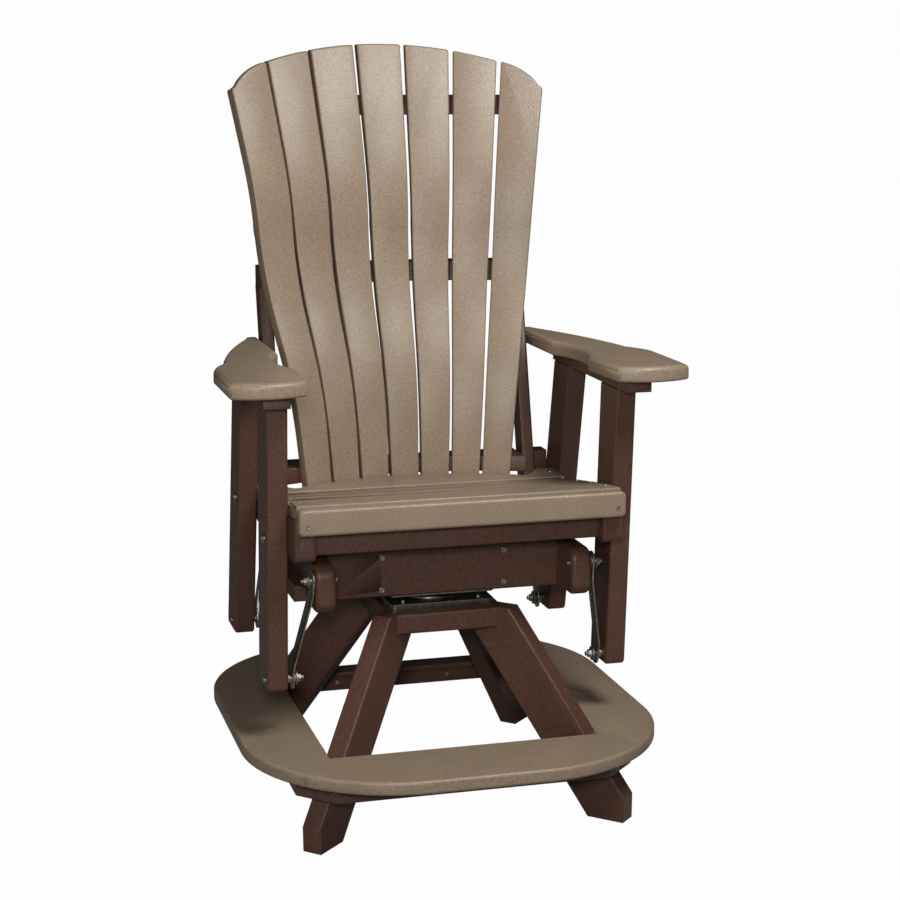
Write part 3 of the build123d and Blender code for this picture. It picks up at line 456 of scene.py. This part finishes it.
@dataclass
class Studio:
    """Camera, lamps, floor and background.

    Attributes:
        lens: Focal length over a 36 mm sensor.
        place: Where the camera stands.
        pitch: How far the camera looks down, in degrees.
        yaw: How far it is turned to the chair's left hand, in degrees.
        floor_half: Half the side of the floor.
        paint: Grey of the floor under the lamps.
        pale: Brightness of the floor and world as the camera sees them.
        room_light: Strength of the world on the chair.
        mirror_light: Strength of the world and floor in glossy reflections.
    """

    lens: float = 81.0
    place: tuple[float, float, float] = (-0.9439, -3.5911, 1.3820)
    pitch: float = 11.259
    yaw: float = 15.378
    floor_half: float = 6.0
    paint: float = 0.3
    pale: float = 0.985
    room_light: float = 0.025
    mirror_light: float = 0.03

    def camera(self) -> None:
        """Set the camera at the photograph's viewing angle."""
        data = bpy.data.cameras.new("camera")
        data.lens = self.lens
        data.sensor_width = 36.0
        camera = bpy.data.objects.new("camera", data)
        camera.location = self.place
        camera.rotation_euler = (math.radians(90 - self.pitch), 0.0, math.radians(-self.yaw))
        bpy.context.scene.collection.objects.link(camera)
        bpy.context.scene.camera = camera

    @staticmethod
    def lamp(
        name: str, place: Sequence[float], aim: Sequence[float], size: float, power: float
    ) -> None:
        """Hang one square soft lamp.

        Args:
            name: Name of the lamp.
            place: Where it hangs.
            aim: The point that it faces.
            size: Length of its side.
            power: Watts.
        """
        data = bpy.data.lights.new(name, "AREA")
        data.size = size
        data.energy = power
        lamp = bpy.data.objects.new(name, data)
        lamp.location = place
        lamp.rotation_euler = (Vector(aim) - Vector(place)).to_track_quat("-Z", "Y").to_euler()
        bpy.context.scene.collection.objects.link(lamp)

    def lamps(self) -> None:
        """Hang a soft box high in front on the right, a lamp beside the camera and a left fill."""
        self.lamp("soft_box", (0.7, -1.55, 3.0), (0.0, 0.05, 0.7), 0.9, 62.0)
        self.lamp("camera_lamp", (-0.95, -3.3, 1.6), (0.0, 0.0, 0.75), 0.4, 42.0)
        self.lamp("left_fill", (-2.3, -1.7, 1.3), (0.0, 0.0, 0.75), 0.9, 9.0)

    def background(self) -> None:
        """Make the world white to the camera, and dim to the chair and in its reflections."""
        world = bpy.data.worlds.new("studio")
        world.use_nodes = True
        bpy.context.scene.world = world
        tree = world.node_tree
        tree.nodes.clear()
        ray = add_node(tree, "ShaderNodeLightPath")
        mirrored = add_node(
            tree,
            "ShaderNodeMath",
            {0: ray.outputs["Is Glossy Ray"], 1: ray.outputs["Is Transmission Ray"]},
            operation="MAXIMUM",
        )
        room = add_node(tree, "ShaderNodeBackground", {"Color": WHITE, "Strength": self.room_light})
        glossy = add_node(
            tree, "ShaderNodeBackground", {"Color": WHITE, "Strength": self.mirror_light}
        )
        seen = add_node(tree, "ShaderNodeBackground", {"Color": WHITE, "Strength": self.pale})
        dim = add_node(
            tree,
            "ShaderNodeMixShader",
            {0: mirrored.outputs[0], 1: room.outputs[0], 2: glossy.outputs[0]},
        )
        mix = add_node(
            tree,
            "ShaderNodeMixShader",
            {0: ray.outputs["Is Camera Ray"], 1: dim.outputs[0], 2: seen.outputs[0]},
        )
        add_node(tree, "ShaderNodeOutputWorld", {"Surface": mix.outputs[0]})

    def floor(self) -> None:
        """Lay a plain white floor, on which the chair's shadow is only a trace."""
        bpy.ops.object.select_all(action="DESELECT")
        bpy.ops.mesh.primitive_plane_add(size=2 * self.floor_half, location=(0.0, 0.0, 0.0))
        floor = bpy.context.object
        floor.name = "studio_floor"
        material, tree = new_material("painted_studio_floor")
        ray = add_node(tree, "ShaderNodeLightPath")
        seen = add_node(
            tree,
            "ShaderNodeMath",
            {0: ray.outputs["Is Camera Ray"], 1: self.pale},
            operation="MULTIPLY",
        )
        share = add_node(
            tree,
            "ShaderNodeMath",
            {0: ray.outputs["Is Glossy Ray"], 1: self.mirror_light, 2: seen.outputs[0]},
            operation="MULTIPLY_ADD",
        )
        paint = add_node(
            tree,
            "ShaderNodeBsdfDiffuse",
            {"Color": (self.paint, self.paint, self.paint, 1.0), "Roughness": 0.6},
        )
        glow = add_node(tree, "ShaderNodeEmission", {"Color": WHITE, "Strength": 1.0})
        mix = add_node(
            tree,
            "ShaderNodeMixShader",
            {0: share.outputs[0], 1: paint.outputs[0], 2: glow.outputs[0]},
        )
        add_node(tree, "ShaderNodeOutputMaterial", {"Surface": mix.outputs[0]})
        floor.data.materials.append(material)

    def build(self) -> None:
        """Set up the whole studio."""
        self.camera()
        self.lamps()
        self.background()
        self.floor()
        bpy.context.scene.view_settings.view_transform = "Standard"


@dataclass
class FootBase:
    """Splayed legs, top blocks, rails under the ring, and the tan foot ring.

    Attributes:
        leg_ease: Easing of the legs and their top blocks, in millimetres.
        rail_ease: Easing of the rails under the ring, in millimetres.
        ring_ease: Easing of the ring's boards, in millimetres.
        leg_least: Shortest eased edge of a leg, in millimetres.
        rail_least: Shortest eased edge of a rail, in millimetres.
        ring_least: Shortest eased edge of the ring and the blocks, in millimetres.
    """

    leg_ease: float = 1.5
    rail_ease: float = 3.0
    ring_ease: float = 1.0
    leg_least: float = 25
    rail_least: float = 20
    ring_least: float = 15

    def build(self, bench: Bench) -> None:
        """Make the boards of the base."""
        rail = (Slot.BROWN, self.rail_ease, self.rail_least)
        ring = (Slot.TAN, self.ring_ease, self.ring_least)
        for end in ("front", "rear"):
            for side in ("left", "right"):
                leg = (Slot.BROWN, self.leg_ease, self.leg_least)
                bench.board(f"{end}_{side}_leg", f"leg_{end}_{side}", *leg)
            bench.board(f"ring_rail_{end}", f"under_rail_{end}", *rail)
        for side in ("left", "right"):
            bench.board(f"ring_rail_{side}", f"under_rail_{side}", *rail)
            bench.board(f"ring_{side}_board", f"foot_ring_{side}", *ring)
        bench.board("ring_front_board", "foot_ring_front", *ring)
        bench.board("ring_rear_boards", "foot_ring_rear", *ring)
        bench.board("top_blocks", "leg_top_blocks", Slot.BROWN, self.leg_ease, self.ring_least)


@dataclass
class GliderFrame:
    """Side rails, cross boards and spacers that turn on the swivel.

    Attributes:
        ease: Easing of the cross boards and spacers, in millimetres.
        least: Shortest eased edge, in millimetres.
    """

    ease: float = 1.5
    least: float = 20

    def build(self, bench: Bench) -> None:
        """Make the boards of the frame. The rails are rounded in the CAD already."""
        for side in ("left", "right"):
            rail = (f"glider_rail_{side}", f"swing_rail_{side}")
            bench.board(*rail, Slot.BROWN, 0.0, self.least)
        for end in ("front", "rear"):
            cross = (f"glider_cross_{end}", f"swing_cross_{end}")
            bench.board(*cross, Slot.BROWN, self.ease, self.least)
        bench.board("spacer_boards", "rail_spacers", Slot.BROWN, self.ease, self.least)


@dataclass
class SeatFrame:
    """Posts, rails and uprights of the hanging seat.

    Attributes:
        rail_ease: Easing of the seat's side rails, in millimetres.
        cross_ease: Easing of the cross and back rails, cleats and supports, in millimetres.
        post_ease: Easing of the posts and uprights, in millimetres.
        rail_least: Shortest eased edge of a rail, in millimetres.
        post_least: Shortest eased edge of a post or upright, in millimetres.
    """

    rail_ease: float = 3.5
    cross_ease: float = 1.75
    post_ease: float = 1.0
    rail_least: float = 12
    post_least: float = 20

    def build(self, bench: Bench) -> None:
        """Make the brown boards of the seat."""
        post = (Slot.BROWN, self.post_ease, self.post_least)
        cross = (Slot.BROWN, self.cross_ease, self.rail_least)
        for side in ("left", "right"):
            for end in ("front", "rear"):
                bench.board(f"{end}_{side}_post", f"post_{end}_{side}", *post)
            rail = (Slot.BROWN, self.rail_ease, self.rail_least)
            bench.board(f"seat_rail_{side}", f"side_rail_{side}", *rail)
            bench.board(f"back_upright_{side}", f"upright_{side}", *post)
        for end in ("front", "rear"):
            bench.board(f"seat_cross_{end}", f"seat_cross_rail_{end}", *cross)
        for level in ("low", "mid", "high"):
            bench.board(f"back_rail_{level}", f"rail_behind_slats_{level}", *cross)
        bench.board("back_cleats", "upright_cleats", *cross)
        bench.board("arm_supports", "boards_under_arms", *cross)


@dataclass
class SeatDeck:
    """Tan boards of the seat.

    Attributes:
        ease: Easing of the slats, in millimetres.
        front_ease: Easing of the front board, in millimetres.
        slat_least: Shortest eased edge of a slat, in millimetres.
        shaped_least: Shortest eased edge of the rear slat and the front board, in millimetres.
    """

    ease: float = 2.0
    front_ease: float = 1.0
    slat_least: float = 15
    shaped_least: float = 8

    def build(self, bench: Bench) -> None:
        """Make the boards of the seat."""
        bench.board("seat_slats", "seat_boards", Slot.TAN, self.ease, self.slat_least)
        bench.board("seat_slat_rear", "seat_board_rear", Slot.TAN, self.ease, self.shaped_least)
        bench.board("seat_front_board", "seat_apron", Slot.TAN, self.front_ease, self.shaped_least)


@dataclass
class FanBack:
    """Bent and tapered slats of the back.

    Attributes:
        count: Number of slats.
        ease: Easing of their edges, in millimetres.
    """

    count: int = 7
    ease: float = 3.0

    def build(self, bench: Bench) -> None:
        """Make the slats with eased edges."""
        for number in range(1, self.count + 1):
            bench.board(f"back_slat_{number}", f"fan_slat_{number}", Slot.TAN, self.ease)


@dataclass
class Armrests:
    """Shaped arms."""

    def build(self, bench: Bench) -> None:
        """Make both arms. Their edges are rounded in the CAD already."""
        for side in ("left", "right"):
            bench.board(f"arm_{side}", f"armrest_{side}", Slot.TAN, 0.0)


@dataclass
class Hardware:
    """Drawn and pressed steel: link straps, swivel plates, and the heads, nuts and washers.

    Attributes:
        strap_ease: Easing of the straps' and plates' edges, in millimetres.
        head_ease: Easing of the heads' and nuts' edges, in millimetres.
        socket: Width of a head's hex socket, as a share of the head's width.
        depth: Depth of the socket, in millimetres.
        slender: How many times longer than wide a solid is that counts as a screw or bolt.
        step: How much wider than its other end a head is at least, in millimetres.
        least: Shortest eased edge of the straps and plates, in millimetres.
        corner: Angle above which an edge of a head or nut is eased.
    """

    strap_ease: float = 0.6
    head_ease: float = 0.4
    socket: float = 0.56
    depth: float = 2.4
    slender: float = 2.5
    step: float = 0.5
    least: float = 2
    corner: float = math.radians(40)

    def ends(self, piece: bpy.types.Object) -> list[tuple[Vector, Vector, float]]:
        """Find the heads of the screws and bolts in a piece of many solids.

        Args:
            piece: Mesh object.

        Returns:
            For each head its outer middle, the way that it faces, and its radius.
        """
        count = len(piece.data.vertices)
        places = np.empty(3 * count)
        piece.data.vertices.foreach_get("co", places)
        places = places.reshape(-1, 3)
        group = np.arange(count)
        pairs = np.array([edge.vertices[:] for edge in piece.data.edges])
        while True:
            least = np.minimum(group[pairs[:, 0]], group[pairs[:, 1]])
            before = group.copy()
            np.minimum.at(group, pairs[:, 0], least)
            np.minimum.at(group, pairs[:, 1], least)
            if (group == before).all():
                break
        found = []
        for label in np.unique(group):
            points = places[group == label]
            middle = (points.min(axis=0) + points.max(axis=0)) / 2
            _, axes = np.linalg.eigh(np.cov((points - middle).T))
            best = max(axes.T, key=lambda way: np.ptp(points @ way))
            along = (points - middle) @ best
            spread = np.linalg.norm((points - middle) - np.outer(along, best), axis=1)
            if np.ptp(along) < self.slender * 2 * spread.max():
                continue
            near = [spread[np.sign(along) * way > 0].max() for way in (-1, 1)]
            if abs(near[1] - near[0]) < self.step * MM:
                continue
            way = best if near[1] > near[0] else -best
            reach = ((points - middle) @ way).max()
            found.append((Vector(middle + way * reach), Vector(way), float(max(near))))
        return found

    def heads(self, bench: Bench, node: str, name: str) -> None:
        """Make a node's fasteners with eased heads and hex sockets.

        Args:
            bench: Bench to work on.
            node: CAD node of the fasteners.
            name: Name of the new piece.
        """
        piece = bench.board(node, name, Slot.STAINLESS, 0.0)
        cutters = []
        for place, way, radius in self.ends(piece):
            bpy.ops.object.select_all(action="DESELECT")
            bpy.ops.mesh.primitive_cylinder_add(
                vertices=6,
                radius=radius * self.socket,
                depth=2 * self.depth * MM,
                location=place,
                rotation=way.to_track_quat("Z", "Y").to_euler(),
            )
            cutters.append(bpy.context.object)
        if cutters:
            bpy.ops.object.select_all(action="DESELECT")
            for cutter in cutters:
                cutter.select_set(True)
            bpy.context.view_layer.objects.active = cutters[0]
            if len(cutters) > 1:
                bpy.ops.object.join()
            cutter = bpy.context.object
            bench.pick(piece)
            recess = piece.modifiers.new("hex_sockets", "BOOLEAN")
            recess.operation = "DIFFERENCE"
            recess.solver = "EXACT"
            recess.object = cutter
            bpy.ops.object.modifier_apply(modifier=recess.name)
            bpy.data.objects.remove(cutter)
        bench.pick(piece)
        bevel = piece.modifiers.new("eased", "BEVEL")
        bevel.limit_method = "ANGLE"
        bevel.angle_limit = self.corner
        bevel.width = self.head_ease * MM
        bevel.segments = 2
        bpy.ops.object.modifier_apply(modifier=bevel.name)
        bpy.ops.object.shade_smooth_by_angle(angle=SMOOTH_ANGLE)
        bench.palette.dress(piece, Slot.STAINLESS)
        log.info("%s has %d sockets", name, len(cutters))

    def build(self, bench: Bench) -> None:
        """Make all the steel pieces."""
        for end in ("front", "rear"):
            for side in ("left", "right"):
                names = (f"link_{end}_{side}", f"strap_{end}_{side}")
                bench.board(*names, Slot.STAINLESS, self.strap_ease, self.least)
        for level in ("lower", "upper"):
            names = (f"swivel_{level}_plate", f"swivel_plate_{level}")
            bench.board(*names, Slot.ZINC, self.strap_ease, self.least)
        for node in ("frame_bolts", "post_bolts", "seat_screws", "base_screws"):
            self.heads(bench, node, f"{node}_with_sockets")
        for node in ("top_pivot_bolts", "low_pivot_bolts"):
            self.heads(bench, node, f"{node}_with_nuts")
        for node in ("king_bolt", "race_balls"):
            bench.palette.dress(bench.frame["nodes"][node], Slot.STAINLESS)
        bench.palette.dress(bench.frame["nodes"]["ball_cage"], Slot.ZINC)


def main() -> None:
    """Build the studio and every sub-assembly around the frame."""
    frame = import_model()
    Studio().build()
    bench = Bench(frame, Palette())
    for assembly in (
        FootBase(),
        GliderFrame(),
        SeatFrame(),
        SeatDeck(),
        FanBack(),
        Armrests(),
        Hardware(),
    ):
        assembly.build(bench)
        log.info("built %s", type(assembly).__name__)


if __name__ == "__main__":
    main()
